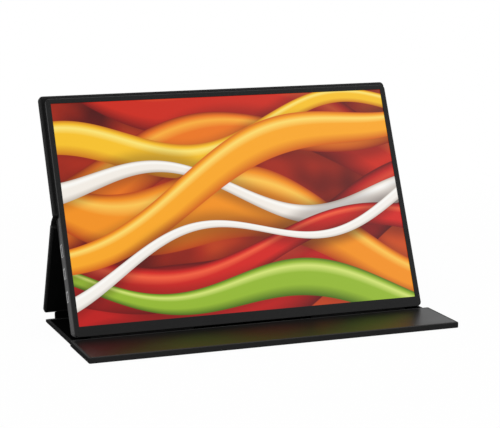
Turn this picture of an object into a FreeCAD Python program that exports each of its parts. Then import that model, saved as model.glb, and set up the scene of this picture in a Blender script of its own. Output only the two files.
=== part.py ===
import FreeCAD, Part
import math
import os

# A portable monitor that stands on its own folio cover.
# Across the object is X, towards the back is Y and up is Z. The screen faces the front, at -Y.
# The origin is on the table, in the middle of the object's footprint box.

# Driving dimensions, in millimetres and degrees.
SIZES = {
    # Monitor outline, the picture's surround and the depths of its two steps.
    "monitor_width": 354.8,
    "monitor_height": 230.8,
    "bezel_side": 5.3,
    "bezel_top": 4.85,
    "bezel_bottom": 9.75,
    "bezel_depth": 0.8,
    "bezel_edge": 0.3,
    "slim_depth": 5.8,
    "housing_depth": 13.8,
    "housing_height": 115.0,
    "shell_wall": 1.2,
    "shell_corner": 4.5,
    "shell_edge": 0.6,
    "slope_start": 1.5,
    "lean_angle": 24.3,
    # Layers behind the bezel.
    "lcd_border": 2.0,
    "lcd_depth": 1.2,
    "backlight_depth": 2.4,
    "chassis_depth": 0.6,
    "chassis_margin": 0.4,
    "boss_radius": 3.0,
    "boss_row_low": 13.0,
    "boss_top_inset": 8.0,
    "boss_spread_low": 40.0,
    "boss_side_inset": 25.75,
    # Boards and what sits on them.
    "board_lift": 0.6,
    "board_depth": 1.0,
    "board_length": 140.0,
    "board_top_margin": 17.0,
    "board_bottom": 28.0,
    "board_screw_inset": 5.0,
    "can_side": 36.0,
    "can_depth": 2.2,
    "can_offset": 60.0,
    "button_board_length": 26.0,
    # Sockets on the left side and the jack on the right.
    "socket_first": 40.0,
    "socket_top_inset": 14.0,
    "usb_length": 9.0,
    "usb_depth": 3.2,
    "usb_reach": 7.4,
    "video_length": 11.0,
    "socket_wall": 0.3,
    "socket_round": 1.4,
    "tongue_depth": 0.7,
    "tongue_margin": 1.0,
    "tongue_recess": 1.2,
    "jack_side": 5.6,
    "jack_reach": 12.0,
    "jack_bore": 1.75,
    # Button and rocker on the right side.
    "button_length": 10.0,
    "button_depth": 2.8,
    "button_proud": 0.6,
    "button_travel": 0.5,
    "button_flange": 0.8,
    "button_flange_rim": 0.8,
    "rocker_length": 14.0,
    "rocker_reach": 4.2,
    "rocker_pin_radius": 0.7,
    "rocker_pin_set": 3.0,
    "rocker_swing": 4.0,
    "switch_side": 3.0,
    # Speakers.
    "speaker_length": 46.0,
    "speaker_height": 15.0,
    "speaker_depth": 6.4,
    "speaker_from_side": 12.0,
    "grille_slot_width": 1.2,
    "grille_slot_pitch": 3.0,
    # Screws.
    "screw_radius": 0.9,
    "screw_head_radius": 1.9,
    "screw_head_depth": 0.6,
    "screw_length": 5.0,
    # Steel sheet for the magnets, and the rubber feet.
    "keeper_width": 240.0,
    "keeper_height": 60.0,
    "keeper_depth": 0.5,
    "foot_length": 100.0,
    "foot_depth": 8.0,
    "foot_height": 2.2,
    "foot_inset": 3.0,
    "foot_end_inset": 16.95,
    # Folio panels, alike in make-up. The first thickness is the back panel's and the strut's.
    "panel_thickness": 5.2,
    "base_thickness": 3.9,
    "flap_thickness": 5.6,
    "panel_corner": 2.5,
    "back_panel_corner": 4.0,
    "flat_corner": 1.5,
    "panel_edge": 0.8,
    "cover_overhang": 4.2,
    "skin_thickness": 0.8,
    "skin_rim": 2.2,
    "lining_thickness": 0.6,
    "back_panel_gap": 2.8,
    "side_trim": 1.8,
    "back_panel_rise": 4.8,
    "mid_fold_back": 8.91,
    "mid_fold_drop": 8.34,
    "strut_lift": 7.8,
    "base_setback": 0.8,
    "base_length": 98.0,
    "tail_length": 12.0,
    "tail_thickness": 1.6,
    "tail_corner": 7.0,
    "flap_length": 65.36,
    "flap_overhang": 1.5,
    "fold_gap": 4.0,
    "fold_strip_thickness": 0.9,
    "spine_thickness": 1.2,
    "spine_foot": 1.1,
    "spine_inset": 10.0,
    # Magnets.
    "magnet_length": 20.0,
    "magnet_width": 10.0,
    "magnet_depth": 2.0,
    "magnet_pitch": 56.0,
    "magnet_from_edge": 8.0,
    # Clearances.
    "fit_clearance": 0.1,
    "seat_clearance": 0.15,
    "slide_clearance": 0.3,
    "pin_clearance": 0.05,
    "fold_clearance": 0.4,
    "cut_overrun": 1.0,
}

GRILLE_SLOT_COUNT = 7
BACK_MAGNET_COUNT = 5
BASE_MAGNET_COUNT = 4

# How far from its pin the rocker presses its switches, as a share of its length.
ROCKER_ARM_SHARE = 0.3

# The part of the free height beside the controls that lies under the rocker.
ROCKER_GAP_SHARE = 0.55

doc = FreeCAD.newDocument("PortableMonitor")
sheet = doc.addObject("Spreadsheet::Sheet", "Sizes")
for row, (alias, number) in enumerate(SIZES.items(), 1):
    sheet.set(f"A{row}", alias)
    sheet.set(f"B{row}", str(number))
    sheet.setAlias(f"B{row}", alias)
doc.recompute()


class Size:
    """A length worked out from the sheet: its expression there, and its present value."""

    def __init__(self, text, value):
        self.text = text
        self.value = float(value)

    def joined(self, sign, other, value):
        return Size(f"({self.text} {sign} {sized(other).text})", value)

    def __add__(self, other):
        return self.joined("+", other, self.value + sized(other).value)

    def __sub__(self, other):
        return self.joined("-", other, self.value - sized(other).value)

    def __mul__(self, other):
        return self.joined("*", other, self.value * sized(other).value)

    def __truediv__(self, other):
        return self.joined("/", other, self.value / sized(other).value)

    def __neg__(self):
        return Size(f"(0 - {self.text})", -self.value)

    def __rmul__(self, other):
        return sized(other) * self


def sized(number):
    return number if isinstance(number, Size) else Size(repr(number), number)


def size(alias):
    return Size(f"Sizes.{alias}", sheet.get(alias))


def half(length):
    return length / 2


ZERO = sized(0)

# Names for the sizes that several pieces share.
monitor_width = size("monitor_width")
monitor_height = size("monitor_height")
bezel_depth = size("bezel_depth")
slim_depth = size("slim_depth")
housing_depth = size("housing_depth")
housing_height = size("housing_height")
wall = size("shell_wall")
thickness = size("panel_thickness")
base_thickness = size("base_thickness")
flap_thickness = size("flap_thickness")
clearance = size("fit_clearance")
seat = size("seat_clearance")
slide = size("slide_clearance")
overrun = size("cut_overrun")
cover_width = monitor_width + 2 * size("cover_overhang")
lean = size("lean_angle")
slope_rate = Size(f"tan({lean.text})", math.tan(math.radians(lean.value)))
slope_run = housing_depth - size("slope_start")
slope_rise = slope_run * slope_rate

# Depths behind the front face, layer by layer.
lcd_back = bezel_depth + size("lcd_depth")
backlight_back = lcd_back + size("backlight_depth")
chassis_back = backlight_back + size("chassis_depth")
board_front = chassis_back + size("board_lift")
board_back = board_front + size("board_depth")
housing_inside = housing_depth - wall
side_inside = half(monitor_width) - wall
cavity_floor = slope_rise + wall
right_face = half(monitor_width)
board_top = housing_height - size("board_top_margin")
board_height = board_top - size("board_bottom")


# Builders

def new_body(label):
    made = doc.addObject("PartDesign::Body", label)
    made.Label = label
    return made


def bind_place(feature, corner):
    for axis, place in zip("xyz", corner):
        feature.setExpression(f"Placement.Base.{axis}", place.text)


def block(owner, label, corner, span, cut=False):
    """A box of a body, from its lowest corner and its span in X, Y and Z."""
    kind = "PartDesign::SubtractiveBox" if cut else "PartDesign::AdditiveBox"
    feature = owner.newObject(kind, label)
    for side, length in zip(("Length", "Width", "Height"), span):
        feature.setExpression(side, length.text)
    bind_place(feature, corner)
    return feature


TURNS = {
    "X": FreeCAD.Rotation(FreeCAD.Vector(0, 1, 0), 90),
    "Y": FreeCAD.Rotation(FreeCAD.Vector(1, 0, 0), -90),
}


def drum(owner, label, start, towards, radius, length, cut=False):
    """A cylinder of a body, from the middle of its first end along one axis."""
    kind = "PartDesign::SubtractiveCylinder" if cut else "PartDesign::AdditiveCylinder"
    feature = owner.newObject(kind, label)
    feature.Placement = FreeCAD.Placement(FreeCAD.Vector(), TURNS[towards])
    feature.setExpression("Radius", radius.text)
    feature.setExpression("Height", length.text)
    bind_place(feature, start)
    return feature


def edge_names(feature, wanted):
    return [f"Edge{number}" for number, edge in enumerate(feature.Shape.Edges, 1) if wanted(edge.BoundBox)]


def rounded(owner, label, radius, wanted):
    """A fillet on the edges of the body so far whose boxes are wanted."""
    doc.recompute()
    base = owner.Tip
    feature = owner.newObject("PartDesign::Fillet", label)
    feature.Base = (base, edge_names(base, wanted))
    feature.setExpression("Radius", radius.text)
    return feature


NEAR = 1e-6


def along_x(box):
    return box.YLength < NEAR and box.ZLength < NEAR


def along_y(box):
    return box.XLength < NEAR and box.ZLength < NEAR


def at_depth(depth):
    """Edges that lie in the plane at one depth."""
    return lambda box: abs(box.YMin - depth.value) < NEAR and abs(box.YMax - depth.value) < NEAR


def loose_box(label, corner, span):
    solid = doc.addObject("Part::Box", label)
    for side, length in zip(("Length", "Width", "Height"), span):
        solid.setExpression(side, length.text)
    bind_place(solid, corner)
    return solid


def loose_drum(label, start, radius, length):
    """A cylinder that runs towards the back from the middle of its first end."""
    solid = doc.addObject("Part::Cylinder", label)
    solid.Placement = FreeCAD.Placement(FreeCAD.Vector(), TURNS["Y"])
    solid.setExpression("Radius", radius.text)
    solid.setExpression("Height", length.text)
    bind_place(solid, start)
    return solid


def group(label, solids):
    made = doc.addObject("Part::Compound", label)
    made.Label = label
    made.Links = solids
    return made


def prism(label, outline, half_width):
    """A solid across X whose outline is given as points of Y and Z."""
    points = [FreeCAD.Vector(-half_width, y, z) for y, z in outline]
    face = Part.Face(Part.makePolygon(points + points[:1]))
    made = doc.addObject("Part::Feature", label)
    made.Label = label
    made.Shape = face.extrude(FreeCAD.Vector(2 * half_width, 0, 0))
    return made


# Where things stand, as points of Y and Z with the monitor's bottom front edge over Y 0.

lean_turn = math.radians(lean.value)
feet_top = base_thickness.value + seat.value + size("foot_height").value
screen_foot = feet_top + size("slope_start").value * math.sin(lean_turn)
base_front = size("base_setback").value
base_rear = base_front + size("base_length").value
flap_rear = base_front - size("fold_gap").value
flap_front = flap_rear - size("flap_length").value
strut_foot = (base_rear, size("strut_lift").value)

back_panel_depth = slim_depth + seat
back_panel_outer = back_panel_depth + thickness
back_panel_start = housing_height + size("back_panel_gap")
back_panel_end = monitor_height + size("back_panel_rise")
back_panel_length = back_panel_end - back_panel_start


def on_monitor(depth, height):
    """The place of a point of the monitor, given by depth behind its front face and height up it."""
    y = height * math.sin(lean_turn) + depth * math.cos(lean_turn)
    z = screen_foot + height * math.cos(lean_turn) - depth * math.sin(lean_turn)
    return y, z


# The strut reaches from the base's rear end to the soft fold under the back panel.
lean_sine = Size(f"sin({lean.text})", math.sin(lean_turn))
lean_cosine = Size(f"cos({lean.text})", math.cos(lean_turn))
feet_level = base_thickness + seat + size("foot_height") + size("slope_start") * lean_sine
strut_rear = back_panel_start * lean_sine + back_panel_outer * lean_cosine + size("mid_fold_back")
strut_head = feet_level + back_panel_start * lean_cosine - back_panel_outer * lean_sine - size("mid_fold_drop")
strut_run = size("base_setback") + size("base_length") - strut_rear
strut_rise = strut_head - size("strut_lift")
strut_square = strut_run * strut_run + strut_rise * strut_rise - thickness * thickness
strut_length = Size(f"sqrt({strut_square.text})", math.sqrt(strut_square.value))
strut_turn = math.atan2(strut_run.value, strut_rise.value) + math.atan2(thickness.value, strut_length.value)


def on_strut(depth, height):
    """The place of a point of the strut, given by depth behind its lining and height up it."""
    y = strut_foot[0] - height * math.sin(strut_turn) + depth * math.cos(strut_turn)
    z = strut_foot[1] + height * math.cos(strut_turn) + depth * math.sin(strut_turn)
    return y, z


panel_edge = size("panel_edge").value
rear_reach = on_monitor(back_panel_outer.value - panel_edge, back_panel_end.value - panel_edge)[0] + panel_edge
strut_reach = on_strut(thickness.value - panel_edge, panel_edge)[0] + panel_edge
middle = (flap_front + max(rear_reach, strut_reach)) / 2


def placed(y, z, turn):
    return FreeCAD.Placement(FreeCAD.Vector(0, y - middle, z), FreeCAD.Rotation(FreeCAD.Vector(1, 0, 0), turn))


def trimmed(place):
    """The place of a panel that is a little narrower on the side away from the sockets."""
    aside = FreeCAD.Vector(-half(size("side_trim")).value, 0, 0)
    return FreeCAD.Placement(aside, FreeCAD.Rotation()).multiply(place)


QUARTER_TURN = 90
monitor_place = placed(0, screen_foot, -lean.value)
strut_place = placed(*strut_foot, math.degrees(strut_turn))
base_place = trimmed(placed(base_front, base_thickness.value, -QUARTER_TURN))
flap_place = placed(flap_front, flap_thickness.value, -QUARTER_TURN)
upright_place = placed(0, 0, 0)

nodes = []


def keep(made, place):
    made.Placement = place
    nodes.append(made)
    return made


# Monitor, built upright with its front face at Y 0 and its bottom front edge on Z 0.

def make_front_bezel():
    bezel = new_body("front_bezel")
    block(bezel, "BezelPlate", (-right_face, ZERO, ZERO), (monitor_width, bezel_depth, monitor_height))
    rounded(bezel, "BezelCorners", size("shell_corner"), along_y)
    rounded(bezel, "BezelFrontEdge", size("bezel_edge"), at_depth(ZERO))
    opening_width = monitor_width - 2 * size("bezel_side")
    opening_height = monitor_height - size("bezel_top") - size("bezel_bottom")
    corner = (-half(opening_width), -overrun, size("bezel_bottom"))
    span = (opening_width, bezel_depth + 2 * overrun, opening_height)
    block(bezel, "PictureOpening", corner, span, cut=True)
    keep(bezel, monitor_place)


def layer(label, front, depth):
    """A sheet behind the bezel that reaches past the picture opening on every side."""
    border = size("lcd_border")
    width = monitor_width - 2 * (size("bezel_side") - border)
    bottom = size("bezel_bottom") - border
    height = monitor_height - size("bezel_top") + border - bottom
    sheet_body = new_body(label)
    block(sheet_body, f"{label}_sheet", (-half(width), front, bottom), (width, depth, height))
    keep(sheet_body, monitor_place)


def boss_spots():
    low = size("boss_row_low")
    high = housing_height - size("boss_top_inset")
    near = size("boss_spread_low")
    far = side_inside - size("boss_side_inset")
    return [(-near, low), (near, low), (-far, high), (-near, high), (near, high), (far, high)]


def side_slot(shell, label, x, spot, depth_middle, length, depth):
    """A cut through a side wall, centred on a height and a depth."""
    corner = (x, depth_middle - half(depth) - clearance, spot - half(length) - clearance)
    span = (wall + 2 * overrun, depth + 2 * clearance, length + 2 * clearance)
    block(shell, label, corner, span, cut=True)


socket_middle = board_back + half(size("usb_depth"))
left_cut = -right_face - overrun
right_cut = right_face - wall - overrun


def socket_spots():
    first = size("socket_first")
    pitch = half(board_top - size("socket_top_inset") - first)
    return [first, first + pitch, first + 2 * pitch]


# The controls on the right share out the same height, by what is free between them.
JACK_SPOT, _, BUTTON_SPOT = socket_spots()
control_room = BUTTON_SPOT - JACK_SPOT - half(size("jack_side")) - size("rocker_length")
control_room = control_room - half(size("button_length"))
ROCKER_SPOT = JACK_SPOT + half(size("jack_side")) + control_room * ROCKER_GAP_SHARE + half(size("rocker_length"))


def make_back_shell():
    shell = new_body("back_shell")
    slim_span = (monitor_width, slim_depth - bezel_depth, monitor_height)
    block(shell, "SlimBack", (-right_face, bezel_depth, ZERO), slim_span)
    housing_span = (monitor_width, housing_depth - bezel_depth, housing_height)
    block(shell, "LowerHousing", (-right_face, bezel_depth, ZERO), housing_span)
    rounded(shell, "ShellCorners", size("shell_corner"), outline_corners)
    slope_shell_bottom(shell)
    rounded(shell, "ShellBackEdges", size("shell_edge"), at_depth(housing_depth))
    hollow_shell(shell)
    cut_shell_sockets(shell)
    cut_screw_holes(shell)
    cut_speaker_grilles(shell)
    keeper_corner, keeper_span = keeper_box(clearance)
    block(shell, "KeeperRecess", keeper_corner, keeper_span, cut=True)
    keep(shell, monitor_place)


def outline_corners(box):
    at_bottom = box.ZMin < NEAR
    at_top = box.ZMin > monitor_height.value - NEAR
    return along_y(box) and (at_bottom or at_top)


def slope_shell_bottom(shell):
    """The bottom is cut level for the lean, from just behind the front face to the back."""
    wedge = shell.newObject("PartDesign::SubtractiveWedge", "BottomSlope")
    wedge.setExpression("Xmin", (-right_face - overrun).text)
    wedge.setExpression("Xmax", (right_face + overrun).text)
    wedge.setExpression("X2min", (-right_face - overrun).text)
    wedge.setExpression("X2max", (right_face + overrun).text)
    low = -overrun
    wedge.setExpression("Ymin", size("slope_start").text)
    wedge.setExpression("Ymax", (housing_depth + overrun).text)
    wedge.setExpression("Zmin", low.text)
    wedge.setExpression("Zmax", ZERO.text)
    wedge.setExpression("Z2min", low.text)
    wedge.setExpression("Z2max", ((slope_run + overrun) * slope_rate).text)


def hollow_shell(shell):
    slim_floor = (slim_depth - wall - size("slope_start")) * slope_rate + wall
    inner_width = 2 * side_inside
    front = bezel_depth - overrun
    slim_top = monitor_height - wall
    depth = slim_depth - wall - front
    corner = size("shell_corner") - wall
    middle_width = inner_width - 2 * corner
    block(shell, "SlimHollow", (-side_inside, front, slim_floor),
          (inner_width, depth, slim_top - corner - slim_floor), cut=True)
    block(shell, "SlimHollowTop", (-half(middle_width), front, slim_floor),
          (middle_width, depth, slim_top - slim_floor), cut=True)
    for label, x in (("HollowCornerLeft", -half(middle_width)), ("HollowCornerRight", half(middle_width))):
        drum(shell, label, (x, front, slim_top - corner), "Y", corner, depth, cut=True)
    block(shell, "HousingHollow", (-side_inside, front, cavity_floor),
          (inner_width, housing_inside - front, housing_height - wall - cavity_floor), cut=True)


def cut_shell_sockets(shell):
    usb_length = size("usb_length")
    usb_depth = size("usb_depth")
    lengths = [usb_length, usb_length, size("video_length")]
    for number, (spot, length) in enumerate(zip(socket_spots(), lengths)):
        side_slot(shell, f"SocketSlot{number}", left_cut, spot, socket_middle, length, usb_depth)
    drum(shell, "JackHole", (right_cut, socket_middle, JACK_SPOT), "X", size("jack_bore"), wall + 2 * overrun, cut=True)
    play = 2 * (slide - clearance)
    depth = size("button_depth") + play
    side_slot(shell, "RockerSlot", right_cut, ROCKER_SPOT, socket_middle, size("rocker_length") + 2 * play, depth)
    side_slot(shell, "ButtonSlot", right_cut, BUTTON_SPOT, socket_middle, size("button_length") + play, depth)


def cut_screw_holes(shell):
    head = size("screw_head_depth")
    for number, (x, z) in enumerate(boss_spots()):
        recess = (x, housing_depth - head - clearance, z)
        drum(shell, f"ScrewRecess{number}", recess, "Y", size("screw_head_radius") + clearance,
             head + clearance + overrun, cut=True)
        hole = (x, housing_inside - overrun, z)
        drum(shell, f"ScrewHole{number}", hole, "Y", size("screw_radius") + clearance, wall + overrun, cut=True)


def speaker_corner(side):
    """The lowest corner of a speaker: side is -1 for the left one and 1 for the right one."""
    length = size("speaker_length")
    outer = right_face - size("speaker_from_side")
    x = outer - length if side > 0 else -outer
    return x, chassis_back, cavity_floor + slide


def cut_speaker_grilles(shell):
    pitch = size("grille_slot_pitch")
    run = (GRILLE_SLOT_COUNT - 1) * pitch
    margin = size("grille_slot_pitch")
    for side in (-1, 1):
        x, _, z = speaker_corner(side)
        first = x + half(size("speaker_length")) - half(run) - half(size("grille_slot_width"))
        for number in range(GRILLE_SLOT_COUNT):
            corner = (first + number * pitch, housing_inside - overrun, z + margin)
            span = (size("grille_slot_width"), wall + 2 * overrun, size("speaker_height") - 2 * margin)
            block(shell, f"GrilleSlot{side + 1}_{number}", corner, span, cut=True)


def keeper_box(gap):
    """The steel sheet's place in the outside of the slim back, with a gap round it."""
    width = size("keeper_width")
    height = size("keeper_height")
    bottom = back_panel_start + half(back_panel_length) - half(height)
    corner = (-half(width) - gap, slim_depth - size("keeper_depth"), bottom - gap)
    span = (width + 2 * gap, size("keeper_depth"), height + 2 * gap)
    return corner, span


def make_keeper_plate():
    keeper = new_body("keeper_plate")
    corner, span = keeper_box(ZERO)
    block(keeper, "KeeperSheet", corner, span)
    keep(keeper, monitor_place)


def board_spots():
    left = -side_inside + clearance + size("board_screw_inset")
    right = left + size("board_length") - 2 * size("board_screw_inset")
    low = size("board_bottom") + size("board_screw_inset")
    high = low + board_height - 2 * size("board_screw_inset")
    return [(left, low), (left, high), (right, low), (right, high)]


def make_chassis_plate():
    chassis = new_body("chassis_plate")
    margin = size("chassis_margin")
    bottom = cavity_floor + margin
    span = (2 * (side_inside - margin), size("chassis_depth"), housing_height - wall - margin - bottom)
    block(chassis, "ChassisSheet", (-side_inside + margin, backlight_back, bottom), span)
    for number, (x, z) in enumerate(boss_spots()):
        start = (x, backlight_back, z)
        drum(chassis, f"Boss{number}", start, "Y", size("boss_radius"), housing_inside - backlight_back)
        hole = (x, housing_inside - size("screw_length") - seat, z)
        drum(chassis, f"BossHole{number}", hole, "Y", size("screw_radius"), size("screw_length") + 2 * overrun, cut=True)
    for number, (x, z) in enumerate(board_spots()):
        start = (x, backlight_back, z)
        drum(chassis, f"Standoff{number}", start, "Y", size("boss_radius"), board_front - backlight_back)
        drum(chassis, f"StandoffHole{number}", start, "Y", size("screw_radius"), board_front, cut=True)
    for number, x in enumerate(button_standoffs()):
        start = (x, backlight_back, BUTTON_SPOT)
        drum(chassis, f"ButtonStandoff{number}", start, "Y", size("screw_head_radius"), board_front - backlight_back)
    keep(chassis, monitor_place)


def make_main_board():
    board = new_body("main_board")
    corner = (-side_inside + clearance, board_front, size("board_bottom"))
    block(board, "BoardSheet", corner, (size("board_length"), size("board_depth"), board_height))
    for number, (x, z) in enumerate(board_spots()):
        hole = (x, board_front - overrun, z)
        drum(board, f"BoardHole{number}", hole, "Y", size("screw_radius") + clearance, size("board_depth") + 2 * overrun,
             cut=True)
    keep(board, monitor_place)


def make_shield_can():
    can = new_body("shield_can")
    side = size("can_side")
    bottom = size("board_bottom") + half(board_height) - half(side)
    block(can, "CanBox", (-side_inside + size("can_offset"), board_back, bottom), (side, size("can_depth"), side))
    rounded(can, "CanCorners", size("shell_edge"), along_y)
    keep(can, monitor_place)


def make_socket(label, spot, length):
    """A metal-rimmed socket on the board, with a tongue in its mouth at the left side."""
    depth = size("usb_depth")
    reach = size("usb_reach")
    rim = size("socket_wall")
    socket = new_body(label)
    block(socket, f"{label}_rim", (-right_face, board_back, spot - half(length)), (reach, depth, length))
    rounded(socket, f"{label}_round", size("socket_round"), along_x)
    mouth = (-right_face - overrun, board_back + rim, spot - half(length) + rim)
    mouth_span = (reach - rim + overrun, depth - 2 * rim, length - 2 * rim)
    block(socket, f"{label}_mouth", mouth, mouth_span, cut=True)
    margin = size("tongue_margin")
    tongue_depth = size("tongue_depth")
    tongue = (-right_face + size("tongue_recess"), socket_middle - half(tongue_depth), spot - half(length) + rim + margin)
    tongue_span = (reach - size("tongue_recess"), tongue_depth, length - 2 * (rim + margin))
    block(socket, f"{label}_tongue", tongue, tongue_span)
    keep(socket, monitor_place)


def make_audio_socket():
    side = size("jack_side")
    reach = size("jack_reach")
    jack = new_body("audio_socket")
    corner = (side_inside - reach, chassis_back, JACK_SPOT - half(side))
    back = socket_middle + half(side)
    block(jack, "JackBox", corner, (reach, back - chassis_back, side))
    bore = (side_inside - reach + wall, socket_middle, JACK_SPOT)
    drum(jack, "JackBore", bore, "X", size("jack_bore"), reach, cut=True)
    keep(jack, monitor_place)


# Controls on the right side: the button slides in, and the rocker tips on its pin.

button_inner = side_inside - seat - size("button_flange")
switch_face = button_inner - size("button_travel") - clearance
rocker_pin_x = right_face - size("rocker_pin_set")
rocker_inner = right_face + size("button_proud") - size("rocker_reach")
rocker_arm = ROCKER_ARM_SHARE * size("rocker_length")
swing = size("rocker_swing")
swing_rate = Size(f"tan({swing.text})", math.tan(math.radians(swing.value)))
button_board_edge = rocker_pin_x - size("rocker_pin_radius") - slide


def button_standoffs():
    inset = size("board_screw_inset")
    right = button_board_edge - inset
    return [right, right - size("button_board_length") + 2 * inset]


def make_button_board():
    board = new_body("button_board")
    length = size("button_board_length")
    height = BUTTON_SPOT - ROCKER_SPOT + size("rocker_length")
    bottom = ROCKER_SPOT - half(size("rocker_length"))
    left = button_board_edge - length
    block(board, "ButtonBoardSheet", (left, board_front, bottom), (length, size("board_depth"), height))
    side = size("switch_side")
    rocker_face = rocker_inner - rocker_arm * swing_rate - slide
    switches = [(BUTTON_SPOT, switch_face), (ROCKER_SPOT - rocker_arm, rocker_face),
                (ROCKER_SPOT + rocker_arm, rocker_face)]
    start = button_board_edge - side
    for number, (spot, face) in enumerate(switches):
        corner = (start, board_back, spot - half(side))
        block(board, f"Switch{number}", corner, (face - start, size("usb_depth"), side))
    keep(board, monitor_place)


def make_power_button():
    button = new_body("power_button")
    length = size("button_length")
    depth = size("button_depth")
    rim = size("button_flange_rim")
    proud = size("button_proud")
    corner = (button_inner, socket_middle - half(depth), BUTTON_SPOT - half(length))
    block(button, "ButtonCap", corner, (right_face + proud - button_inner, depth, length))
    rounded(button, "ButtonRound", half(depth) - seat, along_x)
    flange = (button_inner, socket_middle - half(depth) - rim, BUTTON_SPOT - half(length) - rim)
    block(button, "ButtonFlange", flange, (size("button_flange"), depth + 2 * rim, length + 2 * rim))
    keep(button, monitor_place)


def make_menu_rocker():
    rocker = new_body("menu_rocker")
    length = size("rocker_length")
    depth = size("button_depth")
    corner = (rocker_inner, socket_middle - half(depth), ROCKER_SPOT - half(length))
    block(rocker, "RockerCap", corner, (size("rocker_reach"), depth, length))
    rounded(rocker, "RockerRound", half(depth) - seat, along_x)
    bore = (rocker_pin_x, socket_middle - depth, ROCKER_SPOT)
    drum(rocker, "RockerBore", bore, "Y", size("rocker_pin_radius") + size("pin_clearance"), 2 * depth, cut=True)
    keep(rocker, monitor_place)


def make_rocker_pin():
    pin = new_body("rocker_pin")
    start = (rocker_pin_x, chassis_back, ROCKER_SPOT)
    drum(pin, "RockerPinRod", start, "Y", size("rocker_pin_radius"), housing_inside - chassis_back)
    keep(pin, monitor_place)


def make_speaker(label, side):
    speaker = new_body(label)
    span = (size("speaker_length"), size("speaker_depth"), size("speaker_height"))
    block(speaker, f"{label}_box", speaker_corner(side), span)
    rounded(speaker, f"{label}_corners", size("shell_corner"), along_y)
    keep(speaker, monitor_place)


def screw(label, x, z, seat_depth):
    """A screw that goes in from the back: its head ends at the seat, its shank points to the front."""
    length = size("screw_length")
    head = loose_drum(f"{label}_head", (x, seat_depth, z), size("screw_head_radius"), size("screw_head_depth"))
    shank = loose_drum(f"{label}_shank", (x, seat_depth - length, z), size("screw_radius"), length)
    whole = doc.addObject("Part::Fuse", label)
    whole.Base = head
    whole.Tool = shank
    return whole


def make_screws():
    back_seat = housing_depth - size("screw_head_depth") - clearance
    back = [screw(f"back_screw_{number}", x, z, back_seat) for number, (x, z) in enumerate(boss_spots())]
    keep(group("back_screws", back), monitor_place)
    shank = size("screw_radius")
    length = board_back - backlight_back
    board = []
    for number, (x, z) in enumerate(board_spots()):
        head = loose_drum(f"board_head_{number}", (x, board_back, z), size("screw_head_radius"), size("screw_head_depth"))
        rod = loose_drum(f"board_shank_{number}", (x, backlight_back, z), shank, length)
        whole = doc.addObject("Part::Fuse", f"board_screw_{number}")
        whole.Base = head
        whole.Tool = rod
        board.append(whole)
    keep(group("board_screws", board), monitor_place)


def make_foot_strip(label, side):
    """A rubber strip between the monitor's level bottom and the base."""
    foot = new_body(label)
    length = size("foot_length")
    near = right_face - size("foot_end_inset") - size("foot_length")
    x = near if side > 0 else -near - length
    corner = (x, size("foot_inset"), base_thickness + seat)
    block(foot, f"{label}_bar", corner, (length, size("foot_depth"), size("foot_height")))
    rounded(foot, f"{label}_edges", size("foot_height") / 4, along_x)
    keep(foot, upright_place)


# Folio panels, built upright: the lining at Y 0, the skin's outside at the panel's thickness, the length up Z.

def panel_pocket(wide, length, end_rim):
    rim = size("skin_rim")
    return wide - 2 * rim, length - rim - end_rim


def make_panel_skin(prefix, wide, deep, length, corners, end_rim, tail):
    rim = size("skin_rim")
    skin = new_body(f"{prefix}_skin")
    block(skin, f"{prefix}_wrap", (-half(wide), ZERO, ZERO), (wide, deep, length))
    if tail:
        taper_tail(skin, deep, length)
        rounded(skin, f"{prefix}_tail_corners", size("tail_corner"), lambda box: along_y(box) and not full_depth(box, deep))
    rounded(skin, f"{prefix}_low_corners", corners[0], lambda box: along_y(box) and box.ZMin < NEAR)
    if not tail:
        high = length.value - NEAR
        rounded(skin, f"{prefix}_high_corners", corners[1], lambda box: along_y(box) and box.ZMin > high)
        rounded(skin, f"{prefix}_inner_edges", size("panel_edge"), at_depth(ZERO))
    rounded(skin, f"{prefix}_outer_edges", size("panel_edge"), at_depth(deep))
    width, height = panel_pocket(wide, length, end_rim)
    corner = (-half(width), -overrun, rim)
    block(skin, f"{prefix}_pocket", corner, (width, deep - size("skin_thickness") + overrun, height), cut=True)
    return skin


def full_depth(box, deep):
    return box.YLength > deep.value - NEAR


def taper_tail(skin, deep, length):
    """The end of the panel thins to a tail that the spine folds from."""
    doc.recompute()
    base = skin.Tip
    chamfer = skin.newObject("PartDesign::Chamfer", "TailTaper")
    chamfer.Base = (base, edge_names(base, lambda box: along_x(box) and box.ZMin > length.value - NEAR
                                     and box.YMax < NEAR))
    chamfer.ChamferType = "Two distances"
    chamfer.setExpression("Size", size("tail_length").text)
    chamfer.setExpression("Size2", (deep - size("tail_thickness")).text)


def magnet_spots(count, length_from):
    pitch = size("magnet_pitch")
    first = -half((count - 1) * pitch) - half(size("magnet_length"))
    return [(first + number * pitch, length_from) for number in range(count)]


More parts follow.
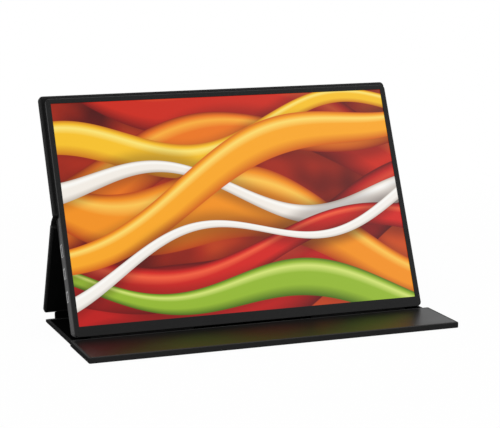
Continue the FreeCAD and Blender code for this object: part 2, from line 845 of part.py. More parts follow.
def make_panel(prefix, wide, deep, length, place, corners, tail=False, magnets=()):
    rim = size("skin_rim")
    lining_depth = size("lining_thickness")
    end_rim = size("tail_length") + rim if tail else rim
    keep(make_panel_skin(prefix, wide, deep, length, corners, end_rim, tail), place)
    width, height = panel_pocket(wide, length, end_rim)
    corner_x = -half(width) + clearance
    span_x = width - 2 * clearance
    span_z = height - 2 * clearance
    board = new_body(f"{prefix}_board")
    board_depth = deep - size("skin_thickness") - lining_depth
    block(board, f"{prefix}_stiffener", (corner_x, lining_depth, rim + clearance), (span_x, board_depth, span_z))
    magnet_span = (size("magnet_length"), size("magnet_depth"), size("magnet_width"))
    solids = []
    for number, (x, z) in enumerate(magnets):
        pocket = (x - clearance, lining_depth - overrun, z - clearance)
        pocket_span = (magnet_span[0] + 2 * clearance, magnet_span[1] + overrun, magnet_span[2] + 2 * clearance)
        block(board, f"{prefix}_magnet_pocket_{number}", pocket, pocket_span, cut=True)
        solids.append(loose_box(f"{prefix}_magnet_{number}", (x, lining_depth, z), magnet_span))
    keep(board, place)
    lining = new_body(f"{prefix}_lining")
    block(lining, f"{prefix}_lining_sheet", (corner_x, ZERO, rim + clearance), (span_x, lining_depth, span_z))
    keep(lining, place)
    return solids


def make_cover():
    from_edge = size("magnet_from_edge")
    back_middle = half(back_panel_length) - half(size("magnet_width"))
    trimmed_width = cover_width - size("side_trim")
    flat = size("flat_corner")
    back_place = trimmed(monitor_place.multiply(back_panel_offset()))
    solids = make_panel("back_panel", trimmed_width, thickness, back_panel_length, back_place,
                        (flat, size("back_panel_corner")), magnets=magnet_spots(BACK_MAGNET_COUNT, back_middle))
    keep(group("back_magnets", solids), back_place)
    make_panel("strut", cover_width, thickness, strut_length, strut_place, (size("panel_corner"), flat))
    solids = make_panel("base", trimmed_width, base_thickness, size("base_length"), base_place, (flat, flat), tail=True,
                        magnets=magnet_spots(BASE_MAGNET_COUNT, from_edge))
    keep(group("base_magnets", solids), base_place)
    flap_width = cover_width + 2 * size("flap_overhang")
    make_panel("flap", flap_width, flap_thickness, size("flap_length"), flap_place, (flat, flat))
    make_folds()


def back_panel_offset():
    return FreeCAD.Placement(FreeCAD.Vector(0, back_panel_depth.value, back_panel_start.value),
                             FreeCAD.Rotation())


def make_folds():
    """Soft strips that join the panels along their outside."""
    half_cover = half(cover_width).value - size("side_trim").value - size("flat_corner").value
    sheet_depth = size("fold_strip_thickness").value
    outer = back_panel_outer.value
    start = back_panel_start.value
    top = strut_length.value
    depth = thickness.value
    gap = size("fold_clearance").value
    mid_outline = [on_monitor(outer, start - gap), on_monitor(outer - sheet_depth, start - gap),
                   on_strut(depth - sheet_depth, top), on_strut(depth, top)]
    keep(prism("mid_fold_strip", mid_outline, half(cover_width).value - gap), upright_place)
    strip_front = flap_rear + gap
    front_outline = [(strip_front, 0), (base_front, 0), (base_front, sheet_depth), (strip_front, sheet_depth)]
    keep(prism("front_fold_strip", front_outline, half_cover), upright_place)
    spine_front = base_rear
    spine_back = base_rear + size("spine_thickness").value
    foot = size("spine_foot").value
    head = strut_foot[1] - seat.value
    spine_outline = [(spine_front, foot), (spine_back, foot), (spine_back, head), (spine_front, head)]
    half_spine = half(cover_width).value - size("spine_inset").value
    keep(prism("spine_strip", spine_outline, half_spine), upright_place)


def make_monitor():
    make_front_bezel()
    layer("lcd_panel", bezel_depth, size("lcd_depth"))
    layer("backlight_unit", lcd_back, size("backlight_depth"))
    make_back_shell()
    make_keeper_plate()
    make_chassis_plate()
    make_main_board()
    make_shield_can()
    usb_length = size("usb_length")
    for label, spot, length in zip(("power_socket", "data_socket", "video_socket"), socket_spots(),
                                   (usb_length, usb_length, size("video_length"))):
        make_socket(label, spot, length)
    make_audio_socket()
    make_button_board()
    make_power_button()
    make_menu_rocker()
    make_rocker_pin()
    make_speaker("speaker_left", -1)
    make_speaker("speaker_right", 1)
    make_screws()
    make_foot_strip("foot_strip_left", -1)
    make_foot_strip("foot_strip_right", 1)


def check_and_write():
    doc.recompute()
    for made in doc.Objects:
        if {"Invalid", "Error"} & set(made.State):
            raise RuntimeError(f"{made.Label} did not build: {made.State}")
    for node in nodes:
        if node.Shape.isNull() or not node.Shape.isValid():
            raise RuntimeError(f"{node.Label} has no sound shape")
    os.makedirs("parts", exist_ok=True)
    for node in nodes:
        node.Shape.exportStep(f"parts/{node.Label}.step")


make_monitor()
make_cover()
check_and_write()
for name, (y, z) in {
    "screen foot": (0, screen_foot),
    "strut foot": strut_foot,
    "spine crease": (base_rear, size("spine_foot").value),
    "flap crease": ((base_front + flap_rear) / 2, size("fold_strip_thickness").value / 2),
    "strut top": on_strut(thickness.value, strut_length.value),
    "back panel foot": on_monitor(back_panel_outer.value, back_panel_start.value),
}.items():
    print(f"{name}: y {y - middle:.3f} z {z:.3f}")
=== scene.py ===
import math

import bmesh
import bpy
from mathutils import Matrix, Vector


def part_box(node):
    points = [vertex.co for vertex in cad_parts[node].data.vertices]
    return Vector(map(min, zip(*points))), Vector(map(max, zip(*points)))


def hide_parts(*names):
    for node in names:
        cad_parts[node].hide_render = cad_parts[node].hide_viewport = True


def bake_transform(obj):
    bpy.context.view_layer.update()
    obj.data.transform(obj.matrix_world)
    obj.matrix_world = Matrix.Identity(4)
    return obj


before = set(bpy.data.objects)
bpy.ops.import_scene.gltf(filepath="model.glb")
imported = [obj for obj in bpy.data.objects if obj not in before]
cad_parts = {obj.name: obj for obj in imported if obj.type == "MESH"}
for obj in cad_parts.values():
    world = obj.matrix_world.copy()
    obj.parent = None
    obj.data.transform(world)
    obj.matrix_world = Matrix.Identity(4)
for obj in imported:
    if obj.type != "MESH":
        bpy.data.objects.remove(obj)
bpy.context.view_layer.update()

MM = 0.001

# The screen's own plane: how far it leans back, its foot, and the middle of the picture.
LEAN = math.radians(24.3)
SCREEN_TURN = LEAN - math.pi / 2
SCREEN_FOOT = Vector((0.0, -0.019148, 0.006867))
SCREEN_MIDDLE = Vector((0.0, 0.02935, 0.11427))

# The monitor's front frame, and the top of the deeper housing behind it, both along the screen.
BEZEL_HALF_WIDTH = 177.4 * MM
BEZEL_HEIGHT = 230.8 * MM
HOUSING_TOP = 115.0 * MM

# The housing's sides: the rear line of their pale band, behind which painted shade darkens them, and how
# that shade widens so the band narrows towards the top.
SIDE_BAND_REAR = -11.2 * MM
SIDE_TAPER = 30.0 * MM
SIDE_TAPER_SLOPE = 0.17

# The sockets on the left side: the plane of their mouths, and half lengths along and across the housing.
SOCKET_RIM = -BEZEL_HALF_WIDTH
SOCKETS = {"power_socket": 4.8 * MM, "data_socket": 4.8 * MM, "video_socket": 5.8 * MM}
SOCKET_HALF_DEPTH = 1.7 * MM

# Where the cover's flat panels end: the crease between them, the flap's front, the base's tail,
# and their tops.
CREASE = -20.3 * MM
FLAP_FRONT = -87.3 * MM
BASE_TAIL = 78.0 * MM
FLAP_TOP = 5.6 * MM
BASE_TOP = 3.9 * MM

# Painted light on the cover's leather: the tone of its painted highlights, and how far the flap's lit front
# face and the base's rim are painted towards it.
EDGE_HIGHLIGHT_TONE = 0.034
FRONT_LIGHT_SHARE = 0.42
BASE_HIGHLIGHT_SHARE = 0.45

# Tones of the monitor's outside: darkest and lightest of each paint, then the painted highlights on the
# frame's edge and round the sockets, and the dark inside of the sockets, partly painted shade.
SLIM_TONES = (0.009, 0.012)
HOUSING_TONES = (0.106, 0.119)
BEZEL_EDGE_HIGHLIGHT_TONE = 0.050
SOCKET_GLINT_TONE = 0.62
SOCKET_TONGUE_AND_SHADE_TONE = 0.012

# Folds of the cover, as points (y, z) in millimetres through the middle of the sheet.
FOLD_SHEET = 0.9 * MM
FOLD_HALF_WIDTH = 181.3 * MM
MID_HALF_WIDTH = 181.5 * MM
SPINE_SHEET = 1.0 * MM
SPINE_HALF_WIDTH = 171.6 * MM
FOLD_CUTS = 23
FOLD_SMOOTHING = 2
FRONT_FOLD = [(-17.9, 0.50), (-18.6, 0.55), (-19.4, 1.20), (-20.35, 1.90), (-21.3, 1.20), (-22.1, 0.55),
              (-22.8, 0.50)]
MID_FOLD = [(49.05, 99.9), (48.75, 101.0), (48.2, 102.3), (46.9, 104.4), (45.0, 106.5), (43.0, 108.2),
            (41.3, 109.4), (40.45, 110.3), (40.5, 111.3)]
SPINE_LOWER = [(79.2, 1.15), (79.75, 1.25), (80.15, 1.8), (80.28, 2.9), (80.28, 4.4), (80.28, 5.8)]
SPINE_UPPER = [(80.32, 3.0), (80.32, 4.4), (80.32, 5.9), (80.15, 6.9), (79.95, 7.6), (79.9, 8.1)]

# The table: its half side, how far it lies under the part, the share of white near the part that leaves
# its shadow showing, where that turns to plain white, and how bright a gloss sees it.
TABLE_HALF_SIDE = 15.0
TABLE_DROP = 0.4 * MM
TABLE_WHITE = 0.97
SHADOW_REACH = (0.4, 1.0)
TABLE_GLOSS = 0.15

# The room: its light on the part, and how bright a gloss sees it in front of the part and behind it.
ROOM_LIGHT = 0.45
ROOM_GLOSS = (0.35, 0.86)
ROOM_GLOSS_TURN = (-0.4, 0.5)

# Lamps: place, aim, side of the square, watts.
LAMPS = {
    "key_lamp": ((-1.2, -1.6, 1.8), (0.0, 0.0, 0.08), 1.2, 22.0),
    "fill_lamp": ((1.5, -1.4, 1.3), (0.0, 0.0, 0.08), 1.4, 9.0),
    "top_lamp": ((0.0, 0.5, 2.2), (0.0, 0.0, 0.0), 1.6, 16.0),
}

# The camera, in front of the part and to its left; lens and sensor in millimetres.
CAMERA_PLACE = (-0.5756, -1.52325, 0.4121)
CAMERA_PITCH = math.radians(79.413)
CAMERA_YAW = math.radians(-20.78)
CAMERA_LENS = 124.68
CAMERA_SENSOR = 36.0


def srgb(red, green, blue):
    """A display colour, 0 to 255, as the linear colour that shows as it."""
    linear = []
    for level in (red, green, blue):
        share = level / 255.0
        if share <= 0.04045:
            linear.append(share / 12.92)
        else:
            linear.append(((share + 0.055) / 1.055) ** 2.4)
    return (linear[0], linear[1], linear[2], 1.0)


def grey(level):
    return (level, level, level, 1.0)


class Nodes:
    """A node tree, and the kinds of node that both the finishes and the room light are made of."""

    def __init__(self, tree):
        self.tree = tree

    def feed(self, socket, value):
        if isinstance(value, bpy.types.NodeSocket):
            self.tree.links.new(value, socket)
        else:
            socket.default_value = value

    def math(self, operation, first, second=0.0, clamp=False):
        node = self.tree.nodes.new("ShaderNodeMath")
        node.operation = operation
        node.use_clamp = clamp
        self.feed(node.inputs[0], first)
        self.feed(node.inputs[1], second)
        return node.outputs[0]

    def ramp(self, value, low, high, to_low=0.0, to_high=1.0, smooth=False):
        node = self.tree.nodes.new("ShaderNodeMapRange")
        node.interpolation_type = "SMOOTHSTEP" if smooth else "LINEAR"
        self.feed(node.inputs["Value"], value)
        for name, level in (("From Min", low), ("From Max", high), ("To Min", to_low), ("To Max", to_high)):
            node.inputs[name].default_value = level
        return node.outputs["Result"]

    def split(self, vector):
        node = self.tree.nodes.new("ShaderNodeSeparateXYZ")
        self.feed(node.inputs[0], vector)
        return node.outputs["X"], node.outputs["Y"], node.outputs["Z"]

    def mix_shaders(self, share, first, second, output):
        node = self.tree.nodes.new("ShaderNodeMixShader")
        self.feed(node.inputs[0], share)
        self.feed(node.inputs[1], first.outputs[0])
        self.feed(node.inputs[2], second.outputs[0])
        self.feed(self.tree.nodes[output].inputs["Surface"], node.outputs[0])


class Finish(Nodes):
    """One material and the nodes that paint it."""

    def __init__(self, name):
        self.material = bpy.data.materials.new(name)
        self.material.use_nodes = True
        super().__init__(self.material.node_tree)
        self.shader = self.tree.nodes["Principled BSDF"]
        self.place = self.tree.nodes.new("ShaderNodeTexCoord").outputs["Object"]

    def set(self, **inputs):
        for name, value in inputs.items():
            self.feed(self.shader.inputs[name.replace("_", " ")], value)

    def base_colour(self):
        """What paints the surface so far."""
        return self.shader.inputs["Base Color"].links[0].from_socket

    def noise(self, scale, detail=3.0, roughness=0.55, place=None):
        node = self.tree.nodes.new("ShaderNodeTexNoise")
        self.feed(node.inputs["Vector"], place or self.place)
        node.inputs["Scale"].default_value = scale
        node.inputs["Detail"].default_value = detail
        node.inputs["Roughness"].default_value = roughness
        return node.outputs["Fac"]

    def cells(self, scale, feature="F1"):
        node = self.tree.nodes.new("ShaderNodeTexVoronoi")
        node.feature = feature
        self.feed(node.inputs["Vector"], self.place)
        node.inputs["Scale"].default_value = scale
        return node.outputs["Distance"]

    def blend(self, share, first, second):
        node = self.tree.nodes.new("ShaderNodeMix")
        node.data_type = "RGBA"
        self.feed(node.inputs["Factor"], share)
        colours = [s for s in node.inputs if s.type == "RGBA"]
        self.feed(colours[0], first)
        self.feed(colours[1], second)
        return [s for s in node.outputs if s.type == "RGBA"][0]

    def stops(self, value, colours):
        node = self.tree.nodes.new("ShaderNodeValToRGB")
        self.feed(node.inputs["Fac"], value)
        points = node.color_ramp.elements
        while len(points) < len(colours):
            points.new(0.5)
        for point, (spot, colour) in zip(points, colours):
            point.position = spot
            point.color = colour
        return node.outputs["Color"]

    def bump(self, height, depth):
        node = self.tree.nodes.new("ShaderNodeBump")
        node.inputs["Strength"].default_value = 1.0
        node.inputs["Distance"].default_value = depth
        self.feed(node.inputs["Height"], height)
        self.feed(self.shader.inputs["Normal"], node.outputs["Normal"])

    def on_screen(self, spot):
        """Object coordinates about a spot, turned into the screen's own directions: across, up and out."""
        node = self.tree.nodes.new("ShaderNodeMapping")
        node.inputs["Rotation"].default_value = (SCREEN_TURN, 0.0, 0.0)
        node.inputs["Location"].default_value = -(Matrix.Rotation(SCREEN_TURN, 3, "X") @ spot)
        self.feed(node.inputs["Vector"], self.place)
        return self.split(node.outputs["Vector"])


def moulded(name, dark, light, rough, grain, depth, gloss=0.4):
    """Moulded plastic, rubber or card: a fine even grain and a faint change of tone."""
    finish = Finish(name)
    tone = finish.ramp(finish.noise(35.0), 0.3, 0.7)
    speck = finish.noise(grain, 2.0)
    finish.set(Base_Color=finish.blend(tone, grey(dark), grey(light)), Specular_IOR_Level=gloss)
    finish.set(Roughness=finish.ramp(speck, 0.3, 0.7, rough - 0.04, rough + 0.04))
    finish.bump(speck, depth)
    return finish


def metal(name, dark, light, rough, streak):
    """Plated or rolled metal with fine streaks along X."""
    finish = Finish(name)
    stretch = finish.tree.nodes.new("ShaderNodeMapping")
    stretch.inputs["Scale"].default_value = (streak, 1.0, 1.0)
    finish.feed(stretch.inputs["Vector"], finish.place)
    lines = finish.noise(1800.0, 3.0, 0.6, stretch.outputs["Vector"])
    finish.set(Base_Color=finish.blend(lines, grey(dark), grey(light)), Metallic=1.0)
    finish.set(Roughness=finish.ramp(lines, 0.3, 0.7, rough - 0.06, rough + 0.08))
    finish.bump(lines, 0.01 * MM)
    return finish


def pressed_leather(name, dark, light, rough, cell, depth, gloss):
    """Coated leather: small pebbled cells and softly varied gloss."""
    finish = Finish(name)
    pebbles = finish.cells(cell)
    crease = finish.noise(cell * 0.4, 3.0)
    cloud = finish.noise(18.0)
    height = finish.math("ADD", pebbles, finish.math("MULTIPLY", crease, 0.6))
    finish.set(Base_Color=finish.blend(cloud, grey(dark), grey(light)), Specular_IOR_Level=gloss)
    finish.set(Roughness=finish.ramp(cloud, 0.3, 0.7, rough - 0.03, rough + 0.03))
    finish.bump(height, depth)
    return finish


def cover_leather():
    """The cover's black coated leather, with painted highlights along the upper edges of the flap and the
    base and painted light on the flap's front face.
    """
    finish = pressed_leather("cover_leather", dark=0.0064, light=0.0084, rough=0.55, cell=1300.0,
                             depth=0.04 * MM, gloss=0.06)
    across, back, up = finish.split(finish.place)
    # Painted highlight along the flap's upper edge, and painted light on the flap's front face.
    on_flap = finish.ramp(back, CREASE + 0.4 * MM, CREASE - 0.4 * MM)
    flap_rim = finish.math("MULTIPLY", on_flap, finish.ramp(up, FLAP_TOP - 0.8 * MM, FLAP_TOP - 0.1 * MM))
    front = finish.ramp(back, FLAP_FRONT + 0.8 * MM, FLAP_FRONT + 0.2 * MM, 0.0, FRONT_LIGHT_SHARE)
    painted_light = finish.math("MAXIMUM", flap_rim, front)
    # Painted highlight along the base's upper rim, weaker than the flap's.
    base_rim = finish.math("MULTIPLY", base_edge(finish, across, back, up), BASE_HIGHLIGHT_SHARE)
    painted_light = finish.math("MAXIMUM", painted_light, base_rim)
    # Noise breaks the painted highlight into patches.
    patchy_light = finish.math("MULTIPLY", painted_light, finish.ramp(finish.noise(160.0), 0.3, 0.7, 0.85, 1.0))
    finish.set(Base_Color=finish.blend(patchy_light, finish.base_colour(), grey(EDGE_HIGHLIGHT_TONE)))
    return finish


def base_edge(finish, across, back, up):
    """Share of the base's upper edge, behind the crease and before the tail, on the socket side: where its
    painted highlight goes.
    """
    on_base = finish.math("MULTIPLY", finish.ramp(back, CREASE + 3.5 * MM, CREASE + 6.0 * MM),
                          finish.ramp(back, BASE_TAIL, BASE_TAIL - 4.0 * MM))
    on_base = finish.math("MULTIPLY", on_base, finish.ramp(across, 50.0 * MM, -50.0 * MM))
    at_top = finish.math("MULTIPLY", finish.ramp(up, BASE_TOP - 0.9 * MM, BASE_TOP - 0.2 * MM),
                         finish.ramp(up, BASE_TOP + 0.6 * MM, BASE_TOP + 0.2 * MM))
    return finish.math("MULTIPLY", on_base, at_top)


def shell_paint():
    """Painted back: black on the slim part, a lighter grey on the lower housing, with painted shade along
    the rear edge of the housing's sides and painted highlights round the sockets.
    """
    finish = Finish("shell_paint")
    across, up, out = finish.on_screen(SCREEN_FOOT)
    speck = finish.noise(1500.0, 2.0)
    cloud = finish.noise(22.0)
    lower = finish.ramp(up, HOUSING_TOP + 0.6 * MM, HOUSING_TOP - 0.6 * MM)
    # Painted shade darkens the rear edge of the housing's sides.
    lower = finish.math("SUBTRACT", lower, painted_side_shade(finish, across, up, out), clamp=True)
    slim = finish.blend(cloud, *(grey(tone) for tone in SLIM_TONES))
    housing = finish.blend(cloud, *(grey(tone) for tone in HOUSING_TONES))
    paint = finish.blend(lower, slim, housing)
    # Painted highlight: light grey rings round the sockets' mouths.
    glints = socket_glints(finish, across, up, out)
    finish.set(Base_Color=finish.blend(glints, paint, grey(SOCKET_GLINT_TONE)))
    finish.set(Specular_IOR_Level=0.3, Roughness=finish.ramp(speck, 0.3, 0.7, 0.40, 0.50))
    finish.bump(speck, 0.03 * MM)
    return finish


def painted_side_shade(finish, across, up, out):
    """Share of painted shade on the housing's sides: a dark line along their rear edge that widens towards
    the top.
    """
    above = finish.math("MAXIMUM", finish.math("SUBTRACT", up, HOUSING_TOP - SIDE_TAPER), 0.0)
    line = finish.math("SUBTRACT", out, finish.math("MULTIPLY", above, SIDE_TAPER_SLOPE))
    side_shade = finish.ramp(line, SIDE_BAND_REAR, SIDE_BAND_REAR - 1.6 * MM)
    aside = finish.math("ABSOLUTE", across)
    on_side = finish.ramp(aside, BEZEL_HALF_WIDTH - 0.9 * MM, BEZEL_HALF_WIDTH - 0.4 * MM)
    return finish.math("MULTIPLY", side_shade, on_side)


def socket_glints(finish, across, up, out):
    """Share of painted highlight in a narrow ring round each socket's mouth: a light grey glint of its
    metal rim, painted on the shell.
    """
    share = 0.0
    leaned = Vector((0.0, math.sin(LEAN), math.cos(LEAN)))
    forward = Vector((0.0, -math.cos(LEAN), math.sin(LEAN)))
    for node, half_length in SOCKETS.items():
        low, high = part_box(node)
        middle = (Vector(low) + Vector(high)) / 2 - SCREEN_FOOT
        along = finish.math("ABSOLUTE", finish.math("SUBTRACT", up, middle.dot(leaned)))
        deep = finish.math("ABSOLUTE", finish.math("SUBTRACT", out, middle.dot(forward)))
        ring = finish.math("MULTIPLY", finish.ramp(along, half_length + 0.5 * MM, half_length + 0.2 * MM),
                           finish.ramp(deep, SOCKET_HALF_DEPTH + 1.7 * MM, SOCKET_HALF_DEPTH + 1.3 * MM))
        share = finish.math("MAXIMUM", ring, share)
    on_side = finish.ramp(across, SOCKET_RIM + 0.4 * MM, SOCKET_RIM + 0.2 * MM)
    return finish.math("MULTIPLY", share, on_side)


def bezel_plastic():
    """Satin black frame with a polished outer edge, its shine a painted highlight of lighter tone."""
    finish = moulded("bezel_plastic", dark=0.0058, light=0.0075, rough=0.46, grain=2600.0, depth=0.02 * MM,
                     gloss=0.24)
    across, up = finish.on_screen(SCREEN_FOOT)[:2]
    aside = finish.math("ABSOLUTE", across)
    side = finish.ramp(aside, BEZEL_HALF_WIDTH - 0.7 * MM, BEZEL_HALF_WIDTH - 0.4 * MM)
    top = finish.ramp(up, BEZEL_HEIGHT - 0.7 * MM, BEZEL_HEIGHT - 0.4 * MM)
    # Painted highlight along the frame's outer sides, weaker along its top.
    edge = finish.math("MAXIMUM", side, finish.math("MULTIPLY", top, 0.6))
    finish.set(Base_Color=finish.blend(edge, finish.base_colour(), grey(BEZEL_EDGE_HIGHLIGHT_TONE)))
    return finish


def socket_plate():
    """Plated socket: bright at the mouth's rim, dark inside it, from its black tongue and from painted
    shade deeper in the mouth.
    """
    finish = metal("socket_plate", dark=0.50, light=0.64, rough=0.26, streak=1.0)
    across = finish.split(finish.place)[0]
    # Darker deeper in the mouth: the tongue's black plastic, and painted shade.
    inside = finish.ramp(across, SOCKET_RIM + 0.2 * MM, SOCKET_RIM + 1.1 * MM)
    finish.set(Base_Color=finish.blend(inside, finish.base_colour(), grey(SOCKET_TONGUE_AND_SHADE_TONE)))
    return finish


def printed_board():
    """Green solder mask with fine copper runs under it."""
    finish = Finish("printed_board")
    runs = finish.cells(260.0, "DISTANCE_TO_EDGE")
    track = finish.ramp(runs, 0.02, 0.10)
    finish.set(Base_Color=finish.blend(track, srgb(40, 96, 60), srgb(14, 48, 30)), Roughness=0.38)
    finish.bump(track, 0.04 * MM)
    return finish


# Ribbons of the picture, from the back one to the front one: height at the middle, rise across,
# wave height, waves across, phase, half width, and colours from the lower edge to the upper one.
RIBBONS = [
    (0.095, -0.30, 0.020, 20.0, 0.4, 0.034, ((120, 12, 10), (206, 40, 22), (236, 92, 44))),
    (0.052, 0.22, 0.024, 17.0, 2.1, 0.030, ((150, 30, 8), (238, 120, 24), (252, 176, 60))),
    (-0.070, 0.30, 0.022, 18.0, 4.4, 0.036, ((96, 6, 10), (190, 26, 24), (232, 70, 48))),
    (0.070, 0.10, 0.022, 21.0, 5.4, 0.016, ((206, 118, 12), (250, 196, 40), (255, 232, 120))),
    (-0.020, -0.26, 0.026, 19.0, 1.0, 0.032, ((186, 66, 8), (246, 148, 28), (254, 200, 84))),
    (0.012, -0.12, 0.020, 22.0, 3.1, 0.012, ((196, 186, 176), (246, 240, 232), (255, 254, 250))),
    (-0.052, 0.06, 0.024, 16.0, 5.9, 0.024, ((128, 10, 12), (214, 36, 30), (244, 96, 62))),
    (-0.088, -0.14, 0.018, 20.0, 0.2, 0.017, ((70, 104, 16), (150, 186, 50), (214, 230, 120))),
    (0.028, 0.34, 0.020, 18.0, 0.9, 0.018, ((212, 96, 10), (252, 170, 36), (255, 222, 110))),
    (-0.034, 0.20, 0.022, 21.0, 2.6, 0.007, ((206, 198, 190), (248, 244, 238), (255, 255, 252))),
]

# The soft shadow under a ribbon: its width, the half width of ribbon that moves it out by that much,
# its depth and its colour.
SHADE_WIDTH = 0.016
SHADE_START = 0.030
SHADE_DEPTH = 0.45
SHADE_COLOUR = srgb(60, 6, 6)


def ribbon(finish, across, up, under, spec):
    """Lays one glossy waving ribbon, with its soft shadow, over what is already there."""
    middle, rise, wave, waves, phase, half_width, colours = spec
    swing = finish.math("SINE", finish.math("ADD", finish.math("MULTIPLY", across, waves), phase))
    line = finish.math("ADD", finish.math("MULTIPLY", across, rise), finish.math("MULTIPLY", swing, wave))
    off = finish.math("SUBTRACT", finish.math("SUBTRACT", up, line), middle)
    turn = finish.math("ADD", finish.math("MULTIPLY", across, waves * 0.6), phase * 1.7)
    width = finish.ramp(finish.math("SINE", turn), -1.0, 1.0, half_width * 0.45, half_width * 1.15)
    part = finish.math("DIVIDE", off, width)
    side = finish.math("ABSOLUTE", part)
    beside = finish.math("DIVIDE", finish.math("ABSOLUTE", off), SHADE_WIDTH)
    start = half_width / SHADE_START
    shade = finish.ramp(beside, start, start + 1.0, SHADE_DEPTH, 0.0, smooth=True)
    darker = finish.blend(shade, under, SHADE_COLOUR)
    low, body, high = (srgb(*colour) for colour in colours)
    skin = finish.stops(finish.ramp(part, -1.0, 1.0),
                        [(0.0, low), (0.30, body), (0.62, body), (0.80, high), (0.90, body), (1.0, low)])
    edge = finish.ramp(side, 0.985, 1.015, 1.0, 0.0)
    return finish.blend(edge, darker, skin)


def screen_picture():
    """Lit screen: glossy ribbons that wave over a deep red ground."""
    finish = Finish("screen_picture")
    across, up = finish.on_screen(SCREEN_MIDDLE)[:2]
    picture = finish.stops(finish.noise(11.0, 2.0, 0.5),
                           [(0.30, srgb(92, 10, 8)), (0.48, srgb(168, 38, 16)), (0.70, srgb(214, 84, 26))])
    for spec in RIBBONS:
        picture = ribbon(finish, across, up, picture, spec)
    finish.set(Base_Color=grey(0.004), Roughness=0.32, Specular_IOR_Level=0.25)
    finish.set(Emission_Color=picture, Emission_Strength=0.95)
    return finish


# The finish of each material slot.
FINISHES = {
    "cover_skin": cover_leather(),
    "cover_lining": pressed_leather("satin_lining", dark=0.0026, light=0.0036, rough=0.33, cell=2200.0,
                                    depth=0.006 * MM, gloss=0.19),
    "stiffener": moulded("grey_card", dark=0.19, light=0.25, rough=0.85, grain=900.0, depth=0.06 * MM,
                         gloss=0.2),
    "magnet": metal("nickel_plate", dark=0.52, light=0.62, rough=0.22, streak=0.3),
    "bezel": bezel_plastic(),
    "shell": shell_paint(),
    "screen": screen_picture(),
    "backlight": moulded("diffuser_film", dark=0.72, light=0.78, rough=0.5, grain=1200.0, depth=0.02 * MM),
    "steel": metal("rolled_steel", dark=0.42, light=0.54, rough=0.34, streak=0.06),
    "screw": metal("black_screw", dark=0.05, light=0.08, rough=0.35, streak=1.0),
    "socket_metal": socket_plate(),
    "circuit_board": printed_board(),
    "dark_plastic": moulded("black_plastic", dark=0.010, light=0.016, rough=0.5, grain=1600.0,
                            depth=0.03 * MM),
    "button": moulded("button_plastic", dark=0.020, light=0.028, rough=0.38, grain=2200.0, depth=0.02 * MM,
                      gloss=0.5),
    "foot_rubber": moulded("foot_rubber", dark=0.014, light=0.020, rough=0.75, grain=1400.0,
                           depth=0.05 * MM, gloss=0.3),
}

# The upright panels take a lighter, glossier copy of the cover's leather outside, and the base's lining and
# the spine a darker, matt copy of the black lining: lit and shaded copies of one leather and one lining,
# their light and shade painted into the tone.
OUTER_LEATHER = pressed_leather("outer_leather", dark=0.0090, light=0.0125, rough=0.44, cell=1300.0,
                                depth=0.05 * MM, gloss=0.22)
SHADED_LINING = pressed_leather("shaded_lining", dark=0.0018, light=0.0026, rough=0.85, cell=2200.0,
                             depth=0.02 * MM, gloss=0.0)
OWN_FINISHES = {"back_panel_skin": OUTER_LEATHER, "strut_skin": OUTER_LEATHER, "base_lining": SHADED_LINING}


def dress_nodes():
    """Gives each solid its own finish, or else the finish of its slot."""
    for name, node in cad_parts.items():
        for holder in node.material_slots:
            slot = holder.material.name.split(".")[0]
            holder.material = OWN_FINISHES.get(name, FINISHES[slot]).material


def new_object(name, shape):
    """Turns a worked shape into a linked object at the origin."""
    mesh = bpy.data.meshes.new(name)
    shape.to_mesh(mesh)
    shape.free()
    piece = bpy.data.objects.new(name, mesh)
    bpy.context.scene.collection.objects.link(piece)
    return piece


def fold_sheet(name, line, sheet, half_width, finish):
    """A soft strip across the cover: the line of its middle drawn out along X, thickened and rounded."""
    shape = bmesh.new()
    spots = [shape.verts.new((-half_width, y * MM, z * MM)) for y, z in line]
    edges = [shape.edges.new(pair) for pair in zip(spots, spots[1:])]
    drawn = bmesh.ops.extrude_edge_only(shape, edges=edges)
    moved = [item for item in drawn["geom"] if isinstance(item, bmesh.types.BMVert)]
    bmesh.ops.translate(shape, verts=moved, vec=(2 * half_width, 0.0, 0.0))
    long_edges = [edge for edge in shape.edges if abs(edge.verts[0].co.x - edge.verts[1].co.x) > half_width]
    bmesh.ops.subdivide_edges(shape, edges=long_edges, cuts=FOLD_CUTS, use_grid_fill=True)
    bmesh.ops.recalc_face_normals(shape, faces=shape.faces[:])
    piece = new_object(name, shape)
    thick = piece.modifiers.new("thickness", "SOLIDIFY")
    thick.thickness = sheet
    thick.offset = 0.0
    smooth = piece.modifiers.new("softness", "SUBSURF")
    smooth.levels = FOLD_SMOOTHING
    smooth.render_levels = FOLD_SMOOTHING
    for face in piece.data.polygons:
        face.use_smooth = True
    piece.data.materials.append(finish.material)
    return piece


def make_folds():
    """The soft folds between the cover's panels."""
    front = fold_sheet("front_fold", FRONT_FOLD, FOLD_SHEET, FOLD_HALF_WIDTH, FINISHES["cover_skin"])
    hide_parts("front_fold_strip")
    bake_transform(front)
    mid = fold_sheet("mid_fold", MID_FOLD, FOLD_SHEET, MID_HALF_WIDTH, OUTER_LEATHER)
    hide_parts("mid_fold_strip")
    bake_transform(mid)
    lower = fold_sheet("spine_lower", SPINE_LOWER, SPINE_SHEET, SPINE_HALF_WIDTH, SHADED_LINING)
    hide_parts("spine_strip")
    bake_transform(lower)
    upper = fold_sheet("spine_upper", SPINE_UPPER, SPINE_SHEET, SPINE_HALF_WIDTH, SHADED_LINING)
    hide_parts("spine_strip")
    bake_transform(upper)


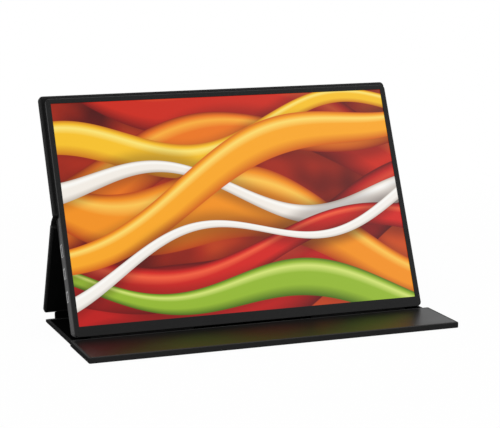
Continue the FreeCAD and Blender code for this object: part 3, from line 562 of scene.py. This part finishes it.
def make_floor():
    """Pale table, white where the camera sees it and dim in a gloss, with the part's shadow on it."""
    shape = bmesh.new()
    bmesh.ops.create_grid(shape, x_segments=2, y_segments=2, size=TABLE_HALF_SIDE)
    bmesh.ops.translate(shape, verts=shape.verts[:], vec=(0.0, 0.0, -TABLE_DROP))
    floor = new_object("table", shape)
    finish = Finish("pale_table")
    finish.set(Base_Color=grey(0.80), Roughness=0.85, Specular_IOR_Level=0.1)
    glow = finish.tree.nodes.new("ShaderNodeEmission")
    path = finish.tree.nodes.new("ShaderNodeLightPath").outputs
    seen = finish.math("MAXIMUM", path["Is Camera Ray"], path["Is Transmission Ray"])
    finish.feed(glow.inputs["Strength"], finish.math("MAXIMUM", seen, TABLE_GLOSS))
    seen = finish.math("MAXIMUM", seen, path["Is Glossy Ray"])
    reach = finish.tree.nodes.new("ShaderNodeVectorMath")
    reach.operation = "LENGTH"
    finish.feed(reach.inputs[0], finish.place)
    white = finish.ramp(reach.outputs["Value"], *SHADOW_REACH, TABLE_WHITE, 1.0, smooth=True)
    finish.mix_shaders(finish.math("MULTIPLY", seen, white), finish.shader, glow, "Material Output")
    floor.data.materials.append(finish.material)


def make_world():
    """Soft grey room light, seen as white by the camera and a little darker in reflections."""
    world = bpy.data.worlds.new("studio")
    bpy.context.scene.world = world
    world.use_nodes = True
    light = Nodes(world.node_tree)
    room = light.tree.nodes["Background"]
    room.inputs["Color"].default_value = grey(1.0)
    room.inputs["Strength"].default_value = ROOM_LIGHT
    white = light.tree.nodes.new("ShaderNodeBackground")
    white.inputs["Color"].default_value = grey(1.0)
    path = light.tree.nodes.new("ShaderNodeLightPath").outputs
    aim = light.tree.nodes.new("ShaderNodeTexCoord").outputs["Generated"]
    gloss = light.ramp(light.split(aim)[1], *ROOM_GLOSS_TURN, *ROOM_GLOSS)
    light.feed(white.inputs["Strength"], light.math("MAXIMUM", gloss, path["Is Camera Ray"]))
    seen = light.math("MAXIMUM", path["Is Camera Ray"], path["Is Transmission Ray"])
    seen = light.math("MAXIMUM", seen, path["Is Glossy Ray"])
    light.mix_shaders(seen, room, white, "World Output")


def make_lamps():
    """Soft square lamps."""
    for name, (spot, aim, side, watts) in LAMPS.items():
        lamp = bpy.data.lights.new(name, "AREA")
        lamp.shape = "SQUARE"
        lamp.size = side
        lamp.energy = watts
        holder = bpy.data.objects.new(name, lamp)
        holder.location = spot
        holder.rotation_euler = (Vector(aim) - Vector(spot)).to_track_quat("-Z", "Y").to_euler()
        bpy.context.scene.collection.objects.link(holder)


def make_camera():
    """The scene's one camera."""
    lens = bpy.data.cameras.new("photo_camera")
    lens.sensor_fit = "HORIZONTAL"
    lens.sensor_width = CAMERA_SENSOR
    lens.lens = CAMERA_LENS
    holder = bpy.data.objects.new("photo_camera", lens)
    holder.location = CAMERA_PLACE
    holder.rotation_euler = (CAMERA_PITCH, 0.0, CAMERA_YAW)
    bpy.context.scene.collection.objects.link(holder)
    bpy.context.scene.camera = holder


bpy.context.scene.view_settings.view_transform = "Standard"
make_camera()
dress_nodes()
make_folds()
make_floor()
make_world()
make_lamps()
